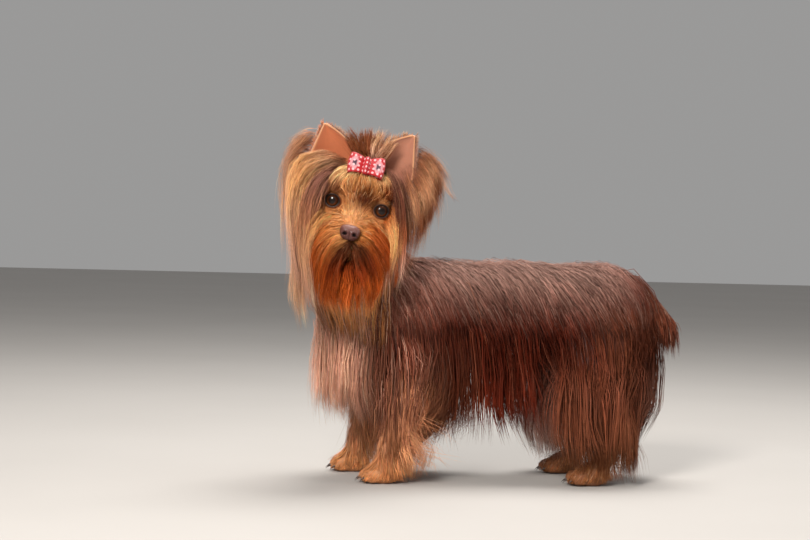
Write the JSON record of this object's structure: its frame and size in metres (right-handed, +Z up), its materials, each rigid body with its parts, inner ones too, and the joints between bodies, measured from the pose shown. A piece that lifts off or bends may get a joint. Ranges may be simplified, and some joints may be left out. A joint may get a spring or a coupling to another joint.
{
  "type": "yorkshire terrier",
  "caption": "Small long-coated terrier standing side-on with its head turned, pricked ears, a gathered topknot held by a ribbon bow, and hair falling from the spine to the hem.",
  "frame": {"origin": "on the floor, in the middle of the box round the whole dog", "axes": "+X from the chest to the tail, +Y to the dog's right side, +Z up; the body looks along -X and the face along -Y"},
  "size_m": [0.421, 0.1949, 0.3448],
  "materials": {
    "saddle_coat": "long straight hair, dark chocolate with greyish lights",
    "tan_coat": "long straight hair, beige to golden tan",
    "face_coat": "long fine hair, golden orange tan",
    "ear_skin": "thin bare warm skin with short hair at the rim",
    "eye": "wet dark brown",
    "nose_leather": "fine pebbled liver-brown leather, moist",
    "bow_ribbon": "red satin ribbon with a small two-colour print"
  },
  "bodies": {
    "root": {"bow": "bow_ribbon", "bow_knot": "bow_ribbon", "ear_left": "ear_skin", "ear_right": "ear_skin", "eye_left": "eye", "eye_right": "eye", "foreleg_left": "tan_coat", "foreleg_right": "tan_coat", "head": "face_coat", "hindleg_left": "tan_coat", "hindleg_right": "tan_coat", "neck": "tan_coat", "nose": "nose_leather", "tail": "saddle_coat", "torso": "saddle_coat"}
  },
  "joints": []
}
